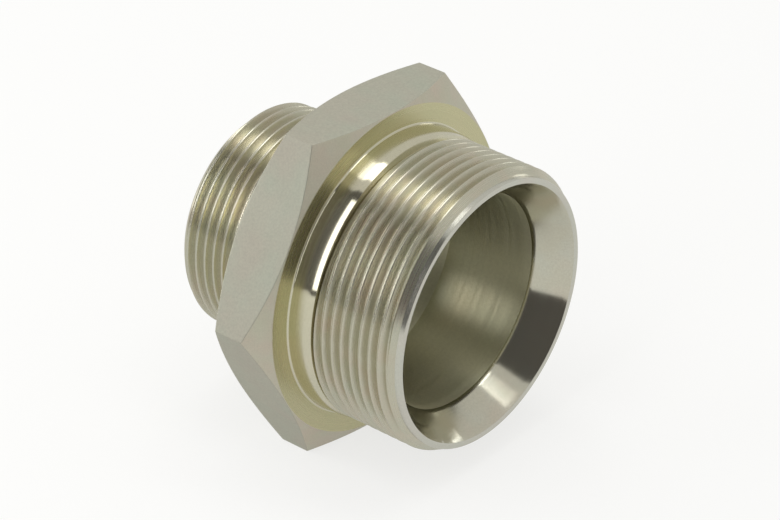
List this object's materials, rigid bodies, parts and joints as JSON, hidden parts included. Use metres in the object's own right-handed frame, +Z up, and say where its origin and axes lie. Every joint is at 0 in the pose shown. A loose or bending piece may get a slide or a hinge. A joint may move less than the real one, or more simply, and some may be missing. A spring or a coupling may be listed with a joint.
{
  "type": "reducing nipple",
  "caption": "Turned steel pipe fitting with a spanner hexagon between a large and a smaller outside thread, bored right through with a cone seat in each mouth.",
  "frame": {"origin": "on the surface that the fitting lies on, under the middle of its length", "axes": "+X along the thread axis and out of the large end, +Y across two corners of the hexagon, +Z up, square to the flat that it lies on"},
  "size_m": [0.061, 0.0808, 0.07],
  "materials": {
    "plated_steel": "turned steel with a thin pale plating, satin to bright"
  },
  "bodies": {
    "root": {"nipple": "plated_steel"}
  },
  "joints": []
}
